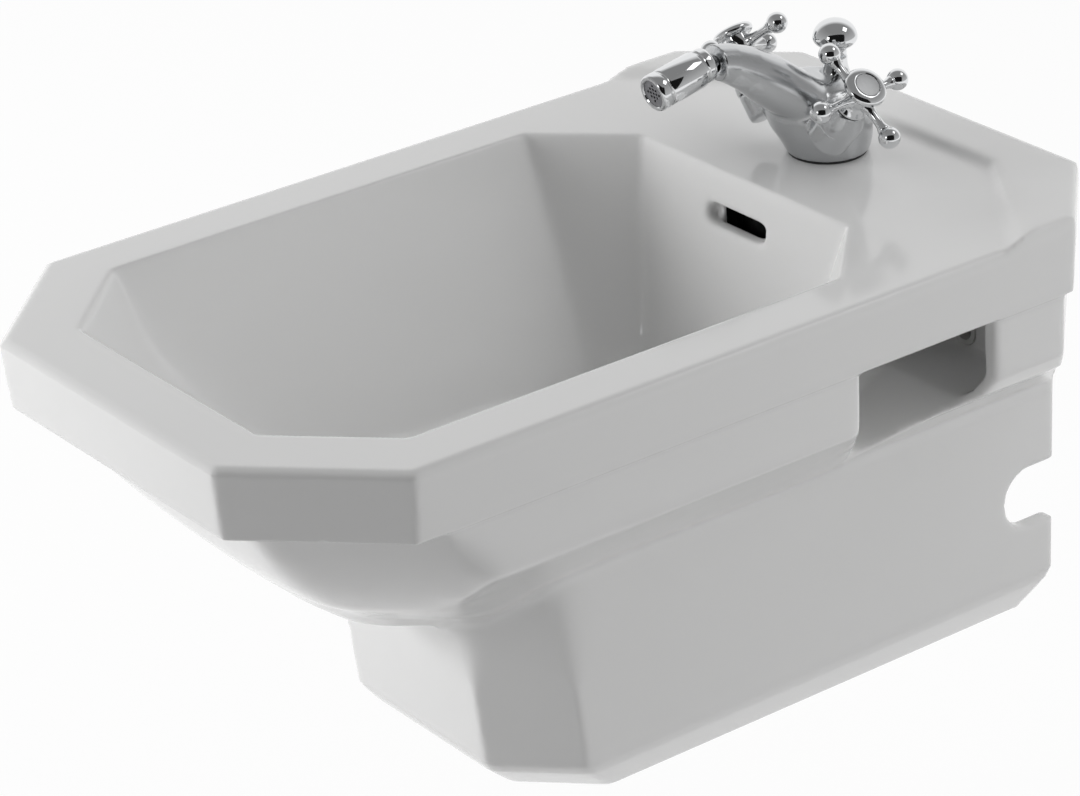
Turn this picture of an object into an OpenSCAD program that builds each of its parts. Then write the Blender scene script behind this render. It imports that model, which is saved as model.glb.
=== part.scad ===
// Wall-hung bidet with a single-hole, two-handle mixer and a pop-up waste.
// Frame: X to the right seen from the front, the wall is the plane y = 0,
// the bidet reaches towards -Y, and z = 0 is the top of the rim.

/* [Rim] */
// Overall width of the china
rim_w = 355; // [335:1:375]
// Projection of the china from the wall
rim_l = 580; // [565:1:600]
// Height of the rim's outer face
rim_h = 42; // [36:1:46]
// Front corner chamfers of the rim
rim_front_chamfer = 73; // [64:1:80]
// Rear corner chamfers of the rim
rim_rear_chamfer = 56; // [50:1:60]
// Inward lean of the rim's outer face, over its height
rim_draft = 3; // [1:0.5:5]
// Softened top edge of the rim
rim_edge = 4; // [2:0.5:6]

/* [Rear ledge] */
// Height of the raised ledge behind the tap
ledge_h = 5.5; // [3:0.5:8]
// Depth of the ledge's top at the middle, from the wall
ledge_l = 32; // [26:1:38]
// Half width of the ledge's straight front edge
ledge_half_w = 87; // [80:1:92]
// Depth of the ledge at the sides, from the wall
ledge_side_l = 108; // [98:1:116]
// Length of the ramp in front of the ledge
ledge_ramp = 6; // [4:0.5:8]

/* [Bowl] */
// Width of the bowl's mouth
bowl_w = 284; // [274:1:290]
// Width of the rim in front of the bowl
bowl_front_rim = 39; // [36:1:45]
// Distance from the wall to the bowl's mouth
bowl_set_back = 148; // [146:1:154]
// Front corner chamfers of the bowl
bowl_front_chamfer = 56; // [48:1:64]
// Rear corner chamfers of the bowl
bowl_rear_chamfer = 50; // [42:1:56]
// Depth of the bowl, from rim to waste
bowl_depth = 150; // [146:1:153]
// Thickness of the china round the bowl
bowl_wall = 11; // [9:0.5:13]

/* [Body] */
// Thickness of the outer china walls
skin = 10; // [8:0.5:12]
// Thickness of the deck under the tap
deck_t = 14; // [11:0.5:16]
// Setting in of the side band under the rim
band_inset = 6; // [4:0.5:8]
// Height of the side band
band_h = 38; // [32:1:42]
// Drop of the sloping side from the band to the lower box
slope_h = 61; // [56:1:66]
// Width of the lower box
box_w = 206; // [198:1:212]
// Projection of the lower box from the wall
box_l = 404; // [396:1:410]
// Nose corner chamfers of the lower box
box_chamfer = 41; // [34:1:48]
// Lean of the nose, over the height of the lower box
box_batter = 10; // [6:1:14]
// Depth of the underside below the rim's top
box_depth = 304; // [300:1:310]
// Height of the bevel at the foot of the box
bevel_h = 40; // [34:1:46]
// Setting in of the bevel at the sides
bevel_side = 30; // [26:1:34]
// Setting in of the bevel at the nose
bevel_front = 38; // [32:1:42]

/* [Side pockets and wall fixing] */
// Distance from the wall to the front edge of a side pocket
pocket_front = 210; // [206:1:216]
// Distance from the wall to the rear edge of a side pocket's opening
pocket_lip = 110; // [104:1:116]
// Distance from the wall to the back of a side pocket
pocket_rear = 60; // [54:1:66]
// Slant of a side pocket's front face, from its outer to its inner edge
pocket_slant = 68; // [64:1:70]
// Half width left between the two pockets
pocket_half_w = 78; // [76:1:79]
// Drop of the front end of a pocket's sill below the rim's top
pocket_sill = 148; // [142:1:152]
// Rise of the sill from its front end to its rear end
pocket_rise = 46; // [40:1:52]
// Spacing of the two wall studs
stud_spacing = 180; // [178:1:184]
// Drop of the wall studs below the rim's top
stud_drop = 92; // [84:1:98]
// Stud size (M12)
stud_d = 12; // [10:1:12]
// Hole in the china for a stud sleeve
stud_hole_d = 19; // [18:0.5:20]
// Clearance of the stud in its sleeve, on the diameter
stud_clearance = 1; // [0.6:0.1:1.4]
// Height of the pipe notches in the side walls
notch_h = 38; // [34:1:42]
// Depth of the pipe notches, from the wall
notch_l = 38; // [34:1:44]
// Drop of the notches' centre line below the rim's top
notch_drop = 210; // [204:1:216]

/* [Overflow] */
// Width of the overflow slot
slot_w = 52; // [46:1:56]
// Height of the overflow slot
slot_h = 12; // [10:0.5:14]
// Drop of the slot's middle below the rim's top
slot_drop = 26; // [24:1:32]

/* [Tap] */
// Distance from the wall to the tap hole
tap_set_back = 84; // [80:1:88]
// Diameter of the tap hole
tap_hole_d = 35; // [34.5:0.5:36]
// Diameter of the tap's base
tap_base_d = 50; // [48:0.5:53]
// Thickness of the gasket under the base
tap_gasket_t = 1.5; // [1:0.1:2.5]
// Diameter of the threaded shank
shank_d = 32; // [31:0.5:33]
// Bore of the shank, for the tails and the lift rod
shank_bore_d = 26; // [25.5:0.5:27]
// Length of the shank below the deck
shank_l = 42; // [36:1:48]
// Bore of the two tail connections (M10 x 1 thread)
inlet_d = 9; // [8.5:0.1:9.4]
// Depth of the tail connections
inlet_l = 10; // [8:1:11]
// Half spacing of the tail connections
inlet_half = 6.5; // [6:0.1:6.8]
// Setting of the tail connections in front of the tap's axis
inlet_forward = 4.5; // [3.5:0.5:5]
// Distance from the middle to the centre of a handle
hub_x = 53; // [51:1:57]
// Setting of the handles in front of the tap's axis
hub_forward = 21; // [19:1:22]
// Height of a handle's centre over the rim
hub_z = 54.5; // [53:0.5:57]
// Rise of a valve's axis over the level
valve_rise = 50; // [47:1:53]
// Reach of the spout ball in front of the tap's axis
ball_reach = 91; // [88:1:96]
// Height of the spout ball over the rim
ball_z = 76.5; // [75:0.5:79]

/* [Handles] */
// Distance from the hub to the centre of a spoke's ball
spoke_l = 30; // [27:0.5:32]
// Diameter of a spoke
spoke_d = 5.5; // [4.5:0.5:6.5]
// Diameter of the balls on the spokes
spoke_ball_d = 12.6; // [11:0.2:13.4]
// Number of spokes
spokes = 4; // [3:1:5]
// Turn of the right handle's spokes at rest
right_turn = 4; // [-20:1:20]
// Turn of the left handle's spokes at rest
left_turn = 22; // [0:1:45]
// Diameter of the hub
hub_d = 17; // [15:0.5:18]
// Diameter of the cap on the hub
cap_d = 25; // [22:0.5:27]
// Diameter of the spindle
spindle_d = 8; // [7:0.5:9]
// Diameter of the cartridge
cartridge_d = 18; // [17:0.5:19]

/* [Aerator] */
// Diameter of the spout ball
ball_d = 16; // [15:0.5:17]
// Diameter of the aerator's housing
aerator_d = 22; // [21.5:0.5:24]
// Length of the housing in front of the ball's centre
aerator_l = 37; // [32:1:42]
// Droop of the aerator below the level, at rest
aerator_droop = 11; // [5:1:16]
// Bore of the housing for the aerator insert
insert_d = 16; // [15:0.5:16.5]
// Length of the aerator insert
insert_l = 12; // [10:1:14]

/* [Lift rod and linkage] */
// Setting of the lift rod behind the tap's axis
rod_behind = 7; // [6.5:0.5:7.5]
// Diameter of the lift rod
rod_d = 4.6; // [4:0.2:5]
// Diameter of the lift knob
knob_d = 26; // [24:0.5:28]
// Height of the lift knob's top over the rim, at rest
knob_top = 79; // [77:0.5:82]
// Travel of the lift knob
lift_travel = 18; // [14:1:20]
// Drop of the rod's lower end below the rim's top
rod_drop = 96; // [88:1:104]

/* [Waste] */
// Distance from the wall to the waste
waste_set_back = 255; // [253:1:258]
// Hole for the waste in the china
waste_hole_d = 46; // [45:0.5:47]
// Thickness of the china boss round the waste
waste_boss_t = 24; // [22:1:26]
// Diameter of the waste flange
waste_flange_d = 64; // [62:0.5:65]
// Diameter of the waste's threaded neck (G 1 1/4)
waste_neck_d = 41.8; // [41:0.1:42]
// Bore of the waste
waste_bore_d = 35; // [34:0.5:36]
// Diameter of the plug
plug_d = 41; // [40:0.5:42]
// Travel of the plug
plug_travel = 5.8; // [5:0.1:5.8]
// Distance from the waste's axis to the ball of the pivot rod
pivot_arm = 24; // [23.5:0.5:25]
// Distance from the pivot rod's ball to the linkage clip
clip_arm = 72; // [68:1:76]
// Drop of the pivot rod below the bowl's floor
pivot_drop = 55; // [54:1:58]
// Diameter of the pivot rod
pivot_d = 4; // [3.6:0.2:4.4]
// Diameter of the tail pipe
tail_d = 32; // [31:0.5:32.5]
// Length of the tail pipe below its nut
tail_l = 40; // [36:1:42]

/* [Fits] */
// Radial running clearance of spindles
run_fit = 0.08; // [0.05:0.01:0.1]
// Radial gap between a moving piece and what it passes
move_gap = 0.3; // [0.25:0.05:0.4]
// Radial gap between fixed pieces that fit into each other
still_gap = 0.05; // [0.02:0.01:0.1]

/* [Hidden] */

$fn = 48;
china = "white";
chrome = "silver";
brass = "goldenrod";
rubber = "dimgray";
plastic = "gainsboro";
over = 1; // how far a cut runs past the face that it opens
corner_in = 2 - sqrt(2); // a 45 degree chamfer's leg shrinks by this much for each 1 of inset

half_w = rim_w / 2;
box_half = box_w / 2;
band_half = half_w - band_inset;
band_z = -rim_h - band_h;
slope_end_z = band_z - slope_h;
slope_rate = (band_half - box_half) / slope_h;
bowl_half = bowl_w / 2;
bowl_front = -rim_l + bowl_front_rim;
waste_y = -waste_set_back;
boss_bottom = -bowl_depth - waste_boss_t;
rear_line = half_w + rim_rear_chamfer - 2 * rim_rear_chamfer; // where the rear chamfer meets the wall

// ---- outlines and lofts ---------------------------------------------------

// Points of a surface in rings of equal count, anticlockwise seen from the last ring
module loft(rings) {
    n = len(rings[0]);
    last = len(rings) - 1;
    polyhedron(
        points = [for (r = rings) each r],
        faces = [
            [for (j = [0 : n - 1]) j],
            [for (j = [n - 1 : -1 : 0]) last * n + j],
            for (i = [0 : last - 1], j = [0 : n - 1])
                let (k = (j + 1) % n)
                each [[i * n + j, (i + 1) * n + j, (i + 1) * n + k], [i * n + j, (i + 1) * n + k, i * n + k]]
        ],
        convexity = 6);
}

// Octagon seen from above: half width, front and rear y, front and rear chamfers.
// bow draws the ends of the front edge back, so that the edge is a curve, and
// steep is the length of a rear chamfer against its width.
function octagon(hw, front, rear, cf, cr, z, bow = 0, steep = 1) =
    let (f = hw - cf, n = bow > 0 ? 6 : 1)
    concat(
        [for (i = [0 : n]) let (u = 2 * i / n - 1) [f * u, front + bow * u * u, z]],
        [[hw, front + bow + cf, z], [hw, rear - cr * steep, z], [hw - cr, rear, z],
         [-hw + cr, rear, z], [-hw, rear - cr * steep, z], [-hw, front + bow + cf, z]]);

function ellipse(y, z, rx, ry, n = 32) =
    [for (i = [0 : n - 1]) [rx * cos(360 * i / n), y + ry * sin(360 * i / n), z]];

// Cylinder from one point to another
module rod(a, b, d) {
    v = b - a;
    translate(a)
        rotate([0, acos(v[2] / norm(v)), atan2(v[1], v[0])])
            cylinder(h = norm(v), d = d);
}

module tube(h, d_out, d_in) {
    difference() {
        cylinder(h = h, d = d_out);
        translate([0, 0, -over]) cylinder(h = h + 2 * over, d = d_in);
    }
}

module both_sides() {
    children();
    mirror([1, 0, 0]) children();
}

// ---- china ----------------------------------------------------------------

module rim_slab() {
    loft([for (s = [[-rim_h, rim_draft], [-rim_edge, 0], [-rim_edge / 3, rim_edge / 3], [0, rim_edge]])
        octagon(half_w - s[1], -rim_l + s[1], 0, rim_front_chamfer - corner_in * s[1],
                rim_rear_chamfer - corner_in * s[1], s[0])]);
}

// Raised ledge behind the tap, which follows the rear corners and fades out at the sides
module rear_ledge() {
    // rows: ramp before the middle, set-back of the ends, setting in of the sides, height
    rows = [[ledge_ramp, -14, 0, -rim_edge], [ledge_ramp, 0, 0, 0],
            [ledge_ramp / 3, 14, rim_edge / 3, ledge_h * 0.8], [0, 22, rim_edge, ledge_h]];
    lap = 10; // how far the wings reach into the middle
    loft([for (r = rows) let (f = -ledge_l - r[0])
        [[-ledge_half_w, f, r[3]], [ledge_half_w, f, r[3]], [ledge_half_w, 0, r[3]], [-ledge_half_w, 0, r[3]]]]);
    both_sides()
        loft([for (r = rows)
            let (f = -ledge_l - r[0], x = half_w - r[2], y = r[1] - ledge_side_l, rate = (y - f) / (x - ledge_half_w))
            [[ledge_half_w - lap, f - rate * lap - 0.4, r[3]], [x, y, r[3]], [x, -rim_rear_chamfer, r[3]],
             [rear_line - r[2], 0, r[3]], [ledge_half_w - lap, 0, r[3]]]]);
}

// Rows of the tub under the rim: drop, set-back of the front, bow and half width of the front edge
tub_rows = [
    [rim_h, 18, 1, 98], [rim_h + 17, 28, 2, 96], [rim_h + band_h, 40, 3, 91],
    [rim_h + band_h + 20, 55, 4, 85], [rim_h + band_h + 43, 76, 7, 76], [rim_h + band_h + 61, 94, 24, 69],
    [rim_h + band_h + 79, 113, 42, 62], [rim_h + band_h + 99, 138, 36, 45]
];
function side_at(drop) = drop <= -band_z ? band_half : band_half - slope_rate * (drop + band_z);

// Rear of the tub: its slanting corners are the front faces of the pockets
tub_rear = -pocket_front + pocket_slant;
pocket_steep = pocket_slant / (band_half - pocket_half_w);

// Solid that holds the bowl: eight-sided, with sloping sides and a bowed front
module tub(inset) {
    loft([for (i = [len(tub_rows) - 1 : -1 : 0])
        let (r = tub_rows[i], w = side_at(r[0]), f = min(r[3], w - 3),
             z = -r[0] + (i == len(tub_rows) - 1 ? inset : 0) + (i == 0 ? 2 : 0))
        octagon(w - inset, -rim_l + r[1] + inset, tub_rear - inset, max(2, w - f - corner_in * inset),
                max(2, w - pocket_half_w - corner_in * inset), z, r[2], pocket_steep)]);
}

nose_top = 168; // drop at which the nose meets the tub, where box_l is measured

// Lower box, straight at the sides, with a chamfered and battered nose and a bevelled foot
module lower_box(inset, top, past = 0) {
    bevel_z = -box_depth + bevel_h;
    // height above the foot, as a share of the bevel, and share of its setting in
    bend = [[0, 1], [0.44, 0.52], [0.77, 0.17], [1, 0]];
    rows = concat(
        [for (b = bend) [-box_depth + b[0] * bevel_h - (b[0] == 0 ? past : 0), b[1] * bevel_side,
                         box_batter + b[1] * bevel_front]],
        [[top, 0, box_batter * (nose_top + top) / (nose_top + bevel_z)]]);
    loft([for (r = rows)
        octagon(box_half - r[1] - inset, -box_l + r[2] + inset, past,
                box_chamfer - corner_in * inset, 0.5, r[0])]);
}

// Rows of the block behind a pocket: drop below the band and share of the way from the band to the box
block_rows = [[68, 1], [54, 0.9], [34, 0.58], [14, 0.16], [0, 0], [-band_h, 0]];
function block_half(share) = band_half - share * (band_half - box_half + 1);

// Block behind a pocket: it carries the wall stud and follows the rim's rear corner
module rear_block() {
    front = -pocket_front + 12;
    loft([for (r = block_rows)
        let (w = block_half(r[1]), z = band_z - r[0] + (r[0] < 0 ? 2 : 0), top_k = rear_line - 1.4 * band_inset,
             k = top_k - r[1] * (top_k - box_half + 2))
        [[pocket_half_w - skin, front, z], [w, front, z],
         [w, -(w - k), z], [k, 0, z], [pocket_half_w - skin, 0, z]]]);
}

// Cut of a side pocket, open to the side over a rising sill, which goes on behind the block's outer skin
module pocket_cut() {
    difference() {
        translate([0, 0, -pocket_sill])
            linear_extrude(pocket_sill - rim_h)
                polygon([[pocket_half_w, -pocket_lip],
                         [half_w + over, -pocket_lip],
                         [half_w + over, -pocket_front - (half_w + over - band_half) * pocket_steep - over],
                         [pocket_half_w, tub_rear - over]]);
        rotate([90, 0, 90])
            linear_extrude(half_w + 10)
                polygon([[-pocket_front, -pocket_sill], [-pocket_lip + over, -pocket_sill + pocket_rise],
                         [-pocket_lip + over, -pocket_sill - over], [-pocket_front, -pocket_sill - over]]);
    }
    intersection() {
        loft([for (r = block_rows)
            let (w = block_half(r[1]) - skin, z = band_z - r[0])
            [[pocket_half_w, -pocket_lip - over, z], [w, -pocket_lip - over, z],
             [w, -pocket_rear - 12, z], [w - 12, -pocket_rear, z], [pocket_half_w, -pocket_rear, z]]]);
        translate([0, -pocket_front, -pocket_sill + pocket_rise]) cube([half_w, pocket_front, pocket_sill]);
    }
}

// Inside of the bowl, or with grow its outer skin
module bowl_form(grow) {
    // drop, setting in at the sides, front and rear, and share of the chamfers that is left
    rows = [
        [0, 0, 0, 0, 1], [5, 3, 4, 2, 0.97], [40, 18, 20, 10, 0.82], [80, 38, 52, 19, 0.68],
        [110, 53, 92, 27, 0.56], [130, 67, 140, 38, 0.48], [143, 86, 190, 58, 0.42]
    ];
    floor_half = waste_flange_d / 2 + 3;
    floor_ring = octagon(floor_half + grow, waste_y - floor_half - grow, waste_y + floor_half + grow,
                         floor_half * 0.6, floor_half * 0.6, -bowl_depth - grow);
    loft(concat([floor_ring], [for (i = [len(rows) - 1 : -1 : 0])
        let (r = rows[i])
        octagon(bowl_half - r[1] + grow, bowl_front + r[2] - grow, -bowl_set_back - r[3] + grow,
                bowl_front_chamfer * r[4] + corner_in * grow, bowl_rear_chamfer * r[4] + corner_in * grow,
                -r[0] * bowl_depth / 150 + (i == 0 ? over : 0))]));
}

// Overflow duct: a box behind the bowl that runs down and forward to the waste
module duct(w, t) {
    slot_y = -bowl_set_back + 2;
    turn = [-w / 2, -bowl_set_back - 18 - t, -bowl_depth - 5 - t];
    bend = [w, 10 + 2 * t, 10 + 2 * t];
    hull() {
        translate([-w / 2, slot_y, -slot_drop - slot_h / 2 - t]) cube([w, 12 + t, slot_h + 2 * t]);
        translate(turn) cube(bend);
    }
    hull() {
        translate(turn) cube(bend);
        translate([-w / 2, waste_y + 8, -bowl_depth - waste_boss_t / 2 - 3 - t]) cube([w, 8, 6 + 2 * t]);
    }
}

module ceramic_body() {
    color(china)
    difference() {
        union() {
            difference() {
                union() {
                    rim_slab();
                    tub(0);
                    difference() {
                        union() {
                            both_sides() rear_block();
                            lower_box(0, -rim_h + 2);
                        }
                        both_sides() pocket_cut();
                    }
                }
                // hollow of the double wall, open at the back and underneath
                difference() {
                    union() {
                        tub(skin);
                        lower_box(skin, -pocket_sill - skin, over);
                        translate([-pocket_half_w + skin, -box_l + box_chamfer + skin, -pocket_sill - skin - over])
                            cube([2 * (pocket_half_w - skin), box_l - box_chamfer - skin + over,
                                  pocket_sill + skin + over - deck_t]);
                    }
                    bowl_form(bowl_wall);
                    translate([0, waste_y, boss_bottom])
                        cylinder(h = waste_boss_t, d = waste_hole_d + 2 * skin + 4);
                    duct(slot_w + skin, skin * 0.6);
                }
            }
            rear_ledge();
        }
        bowl_form(0);
        duct(slot_w - 12, 0);
        overflow_slot();
        translate([0, waste_y, boss_bottom - over])
            cylinder(h = waste_boss_t + bowl_depth, d = waste_hole_d);
        translate([0, -tap_set_back, -deck_t - over])
            cylinder(h = deck_t + 2 * over, d = tap_hole_d);
        both_sides()
            translate([stud_spacing / 2, over, -stud_drop])
                rotate([90, 0, 0]) cylinder(h = pocket_rear + 2 * over, d = stud_hole_d);
        pipe_notch();
    }
}

// Rounded slot high in the bowl's rear wall
module overflow_slot() {
    r = slot_h / 2;
    for (s = [-1, 1])
        translate([s * (slot_w / 2 - r), -bowl_set_back - 12, -slot_drop])
            rotate([-90, 0, 0]) cylinder(h = 14, r = r);
    translate([-slot_w / 2 + r, -bowl_set_back - 12, -slot_drop - r]) cube([slot_w - 2 * r, 14, slot_h]);
}

// Notches for pipes in both side walls, open to the wall
module pipe_notch() {
    r = notch_h / 2;
    translate([-box_half - over, -notch_l + r, -notch_drop])
        rotate([0, 90, 0]) cylinder(h = box_w + 2 * over, r = r);
    translate([-box_half - over, -notch_l + r, -notch_drop - r]) cube([box_w + 2 * over, notch_l, notch_h]);
}

// ---- wall fixing ----------------------------------------------------------

// Plastic sleeves that keep the studs off the china, flush with its faces
module fixing_sleeves() {
    color(plastic)
    both_sides()
        translate([stud_spacing / 2, 0, -stud_drop])
            rotate([90, 0, 0]) tube(pocket_rear, stud_hole_d - 2 * still_gap, stud_d + stud_clearance);
}

// ---- tap ------------------------------------------------------------------

tap_y = -tap_set_back;
valve_y = tap_y - hub_forward;
rod_y = tap_y + rod_behind;
ball_pos = [0, tap_y - ball_reach, ball_z];
ball_neck = 9; // from the ball's centre to the spout's end
spout_tilt = 2; // rise of the spout at its end
spout_end = ball_pos + ball_neck * [0, cos(spout_tilt), -sin(spout_tilt)];
base_r = tap_base_d / 2;
socket_low = -44; // along a valve's axis, counted from the hub's centre
socket_high = -27;
bonnet_high = -12;
cartridge_high = -14;
valve_heart = [0, tap_y - 15, 36]; // where the two waterways join

// Places its children on a valve's axis, with z = 0 at the hub's centre
module at_valve(side) {
    translate([side * hub_x, valve_y, hub_z])
        rotate([0, side * (90 - valve_rise), 0]) children();
}
function on_valve(side, s) =
    [side * (hub_x + s * cos(valve_rise)), valve_y, hub_z + s * sin(valve_rise)];

// Section of the spout across its path: middle, rise, half width and half height
function spout_ring(m, rise, hw, ht, n = 28) =
    [for (i = [0 : n - 1]) let (a = 360 * i / n)
        [hw * cos(a), m[1] + ht * sin(a) * sin(rise), m[2] + ht * sin(a) * cos(rise)]];

module tap_body() {
    spout_root = [0, tap_y - 14, 33];
    way = spout_end - spout_root;
    color(chrome)
    difference() {
        union() {
            // bell that leans forward from the round base to the shoulders
            loft([
                ellipse(tap_y, tap_gasket_t, base_r - 1, base_r - 1),
                ellipse(tap_y, tap_gasket_t + 2, base_r, base_r),
                ellipse(tap_y - 1, 9, base_r + 2, base_r + 2),
                ellipse(tap_y - 4.5, 19, base_r + 5.5, base_r + 5),
                ellipse(tap_y - 8.5, 29, base_r + 7.5, base_r + 5),
                ellipse(tap_y - 9, 38, base_r + 4.5, base_r + 1.5),
                ellipse(tap_y - 8, 45, base_r - 1.5, base_r - 2),
                ellipse(tap_y - 10, 48.5, base_r - 9.5, base_r - 9.5)
            ]);
            // spout, wide at the shoulders and round at its end
            loft([
                spout_ring(spout_root, 20, 25, 15),
                spout_ring(spout_root + 0.22 * way + [0, 0, 1.5], 34, 23, 15.5),
                spout_ring(spout_root + 0.45 * way + [0, 0, 3.5], 34, 18.5, 15),
                spout_ring(spout_root + 0.68 * way + [0, 0, 4.5], 28, 14.5, 13),
                spout_ring(spout_root + 0.86 * way + [0, 0, 3], 18, 12, 11.4),
                spout_ring(spout_end, spout_tilt, 11, 10.5)
            ]);
            // sockets for the valves
            for (side = [-1, 1])
                rod(on_valve(side, socket_low), on_valve(side, socket_high), cartridge_d + 8);
            // threaded shank
            translate([0, tap_y, -shank_l]) cylinder(h = shank_l + tap_gasket_t + over, d = shank_d);
        }
        translate([0, tap_y, -shank_l - over]) cylinder(h = shank_l + 4 + over, d = shank_bore_d);
        for (side = [-1, 1]) {
            rod(on_valve(side, socket_low + 3), on_valve(side, socket_high + over), cartridge_d + 2 * still_gap);
            translate([side * inlet_half, tap_y - inlet_forward, 3]) {
                cylinder(h = inlet_l + 1, d = inlet_d);
                // run-out behind the thread
                translate([0, 0, inlet_l + 1]) cylinder(h = 1, d = inlet_d + 1);
            }
            rod([side * inlet_half, tap_y - inlet_forward, 3 + inlet_l], on_valve(side, socket_low + 6), 6);
            rod(on_valve(side, -38), valve_heart, 6);
        }
        rod(valve_heart + [0, 4, -2], spout_end + [0, -1, 0.5], 9);
        rod(spout_end + 14 * [0, cos(spout_tilt), -sin(spout_tilt)],
            spout_end + 2 * [0, -cos(spout_tilt), sin(spout_tilt)], neck_d + 2 * still_gap);
        translate([0, rod_y, 2]) cylinder(h = 60, d = guide_tube_d + 2 * still_gap);
        translate([0, rod_y, guide_low]) cylinder(h = 20, d = guide_flange_d + 2 * still_gap);
    }
}

module tap_base_gasket() {
    color(rubber)
    translate([0, tap_y, 0]) tube(tap_gasket_t, tap_base_d - 4, tap_hole_d + 1);
}

under_washer_t = 3;
steel_washer_t = 2;
nut_h = 11;

module tap_rubber_washer() {
    color(rubber)
    translate([0, tap_y, -deck_t - under_washer_t]) tube(under_washer_t, shank_d + 20, shank_d + 1);
}

module tap_metal_washer() {
    color(chrome)
    translate([0, tap_y, -deck_t - under_washer_t - steel_washer_t])
        tube(steel_washer_t, shank_d + 19, shank_d + 1);
}

module tap_back_nut() {
    color(brass)
    translate([0, tap_y, -deck_t - under_washer_t - steel_washer_t - nut_h])
        difference() {
            cylinder(h = nut_h, d = shank_d + 16, $fn = 6);
            translate([0, 0, -over]) cylinder(h = nut_h + 2 * over, d = shank_d + 2 * still_gap);
        }
}

// ---- aerator on its ball joint ---------------------------------------------

// Places its children at the ball's centre, with +Z along the aerator
module at_aerator() {
    translate(ball_pos) rotate([90 + aerator_droop, 0, 0]) children();
}

seat_t = 1; // lining between ball and housing
seat_d = ball_d + 2 * run_fit;
cup_d = seat_d + 2 * seat_t + 2 * run_fit;
neck_d = 7;
neck_bore = 4;
lip_start = -3.6; // behind the ball's centre, the lip that holds the housing on the ball
lip_end = -4.6;
insert_step = aerator_l - insert_l - 1;
way_d = 10; // waterway in front of the ball

// Ball with its threaded neck, screwed into the spout
module spout_ball() {
    neck_dir = [0, cos(spout_tilt), -sin(spout_tilt)];
    color(chrome)
    difference() {
        union() {
            translate(ball_pos) sphere(d = ball_d);
            rod(ball_pos + 2 * neck_dir, ball_pos + (ball_neck + 12) * neck_dir, neck_d);
        }
        rod(ball_pos - ball_d * neck_dir, ball_pos + (ball_neck + 13) * neck_dir, neck_bore);
    }
}

// Lining that swings with the housing from side to side
module ball_seat() {
    color(plastic)
    at_aerator()
        difference() {
            sphere(d = seat_d + 2 * seat_t);
            sphere(d = seat_d);
            translate([0, 0, -ball_d]) cylinder(h = ball_d - 1.5, d = 2 * ball_d);
            cylinder(h = ball_d, d = way_d);
        }
}

module aerator_housing() {
    color(chrome)
    at_aerator()
        difference() {
            rotate_extrude()
                polygon([[0, lip_end], [aerator_d / 2 - 2.4, lip_end], [aerator_d / 2 - 0.8, -2],
                         [aerator_d / 2 - 0.8, 2],
                         [aerator_d / 2 - 1.6, 2.6], [aerator_d / 2 - 1.6, 4.4], [aerator_d / 2, 5],
                         [aerator_d / 2, aerator_l - 8], [aerator_d / 2 - 0.6, aerator_l - 7.4],
                         [aerator_d / 2 - 0.6, aerator_l - 6.6], [aerator_d / 2, aerator_l - 6],
                         [aerator_d / 2, aerator_l - 1], [aerator_d / 2 - 1, aerator_l], [0, aerator_l]]);
            sphere(d = ball_d + 2 * move_gap);
            difference() {
                sphere(d = cup_d);
                translate([0, 0, lip_start - cup_d]) cylinder(h = cup_d, d = cup_d);
            }
            cylinder(h = aerator_l, d = way_d);
            translate([0, 0, insert_step - 1]) cylinder(h = aerator_l, d = insert_d);
        }
}

module aerator_washer() {
    color(rubber)
    at_aerator() translate([0, 0, insert_step - 1]) tube(1, insert_d - 2 * still_gap, way_d);
}

// Insert with a grid of square holes
module aerator_insert() {
    pitch = 2.4;
    color(plastic)
    at_aerator()
        translate([0, 0, insert_step])
            difference() {
                cylinder(h = insert_l, d = insert_d - 2 * still_gap);
                translate([0, 0, -over]) cylinder(h = insert_l - 1, d = insert_d - 4);
                for (i = [-2 : 2], j = [-2 : 2])
                    if (norm([i, j]) * pitch < insert_d / 2 - 3)
                        translate([i * pitch - 0.8, j * pitch - 0.8, insert_l - 3]) cube([1.6, 1.6, 4]);
            }
}

// ---- handles --------------------------------------------------------------

hub_low = -11;
hub_high = 6;
cap_t = 6;
spindle_top = 1.5;
screw_d = 4;

// Cover over the valve's thread
module bonnet(side) {
    color(chrome)
    at_valve(side)
        difference() {
            union() {
                translate([0, 0, socket_high]) cylinder(h = 5, d = cartridge_d + 9);
                translate([0, 0, socket_high + 5])
                    cylinder(h = bonnet_high - socket_high - 5, d1 = cartridge_d + 5, d2 = cartridge_d + 1);
            }
            translate([0, 0, socket_high - over])
                cylinder(h = bonnet_high - socket_high - 2, d = cartridge_d + 2 * still_gap);
            translate([0, 0, socket_high]) cylinder(h = 40, d = spindle_d + 4 + 2 * still_gap);
        }
}

module cartridge(side) {
    top = cartridge_high - 1.5;
    color(brass)
    at_valve(side)
        difference() {
            union() {
                translate([0, 0, socket_low + 3]) cylinder(h = top - socket_low - 3.5, d = cartridge_d);
                translate([0, 0, top - 1]) cylinder(h = bonnet_high - top + 0.6, d = spindle_d + 4);
            }
            translate([0, 0, socket_low + 12]) cylinder(h = 60, d = spindle_d + 2 * run_fit);
            translate([0, 0, socket_low]) cylinder(h = 10, d = 8);
            translate([-cartridge_d, 0, socket_low + 9]) rotate([0, 90, 0]) cylinder(h = 2 * cartridge_d, d = 5);
        }
}

module spindle(side) {
    color(brass)
    at_valve(side)
        difference() {
            translate([0, 0, socket_low + 12.3]) cylinder(h = spindle_top - socket_low - 12.3, d = spindle_d);
            translate([0, 0, spindle_top - 9]) cylinder(h = 10, d = screw_d);
        }
}

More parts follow.
